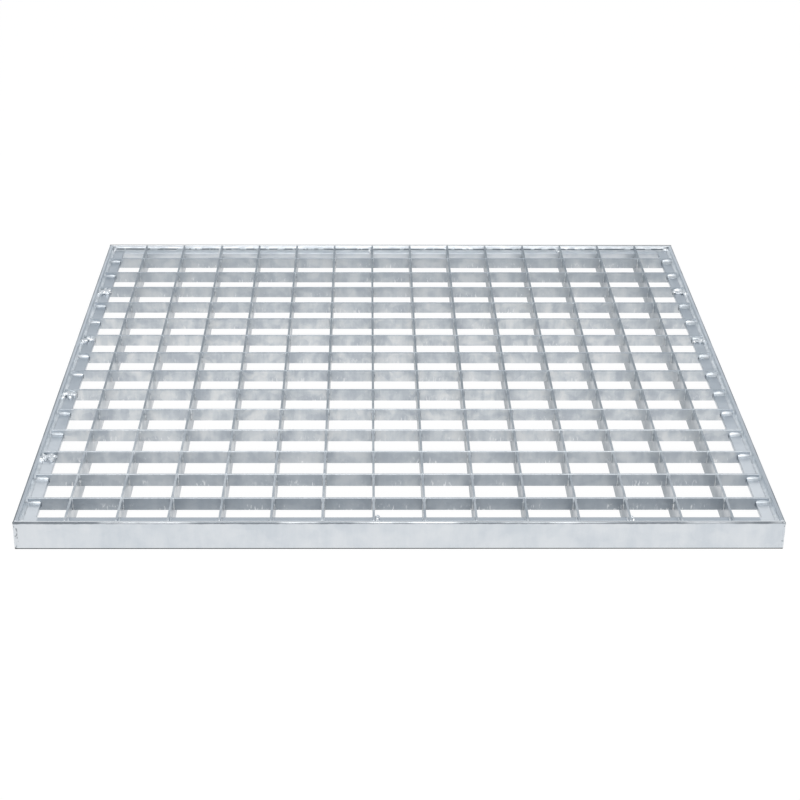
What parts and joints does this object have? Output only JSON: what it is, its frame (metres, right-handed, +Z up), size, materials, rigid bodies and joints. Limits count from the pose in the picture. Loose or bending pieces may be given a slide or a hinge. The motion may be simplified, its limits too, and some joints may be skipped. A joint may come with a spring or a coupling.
{
  "type": "galvanised steel grating",
  "caption": "Square galvanised steel grating: flat bearing bars and cross bars pressed into each other as a square mesh, inside a welded border of T section.",
  "frame": {"origin": "middle of the underside, on the ground that the grating lies on", "axes": "+Z up, through the mesh; the bearing bars run along Y and the cross bars along X; the front is -Y"},
  "size_m": [0.5, 0.5, 0.02],
  "materials": {
    "bearing_bars": "hot-dip galvanised, dull grey zinc with faint streaks",
    "cross_bars": "hot-dip galvanised, mottled blue-grey zinc",
    "border": "hot-dip galvanised, smooth pale zinc",
    "welds": "weld beads under bright lumpy zinc"
  },
  "bodies": {
    "root": {"bearing_bar_01": "bearing_bars", "bearing_bar_02": "bearing_bars", "bearing_bar_03": "bearing_bars", "bearing_bar_04": "bearing_bars", "bearing_bar_05": "bearing_bars", "bearing_bar_06": "bearing_bars", "bearing_bar_07": "bearing_bars", "bearing_bar_08": "bearing_bars", "bearing_bar_09": "bearing_bars", "bearing_bar_10": "bearing_bars", "bearing_bar_11": "bearing_bars", "bearing_bar_12": "bearing_bars", "bearing_bar_13": "bearing_bars", "bearing_bar_14": "bearing_bars", "cross_bar_01": "cross_bars", "cross_bar_02": "cross_bars", "cross_bar_03": "cross_bars", "cross_bar_04": "cross_bars", "cross_bar_05": "cross_bars", "cross_bar_06": "cross_bars", "cross_bar_07": "cross_bars", "cross_bar_08": "cross_bars", "cross_bar_09": "cross_bars", "cross_bar_10": "cross_bars", "cross_bar_11": "cross_bars", "cross_bar_12": "cross_bars", "cross_bar_13": "cross_bars", "cross_bar_14": "cross_bars", "border_front": "border", "border_back": "border", "border_left": "border", "border_right": "border", "weld_left_1": "welds", "weld_left_2": "welds", "weld_left_3": "welds", "weld_left_4": "welds", "weld_right_1": "welds", "weld_right_2": "welds", "weld_back_1": "welds", "weld_back_2": "welds", "weld_back_3": "welds", "weld_front_1": "welds", "weld_front_2": "welds", "weld_corner_front_left": "welds", "weld_corner_front_right": "welds", "weld_corner_back_right": "welds", "weld_corner_back_left": "welds"}
  },
  "joints": []
}
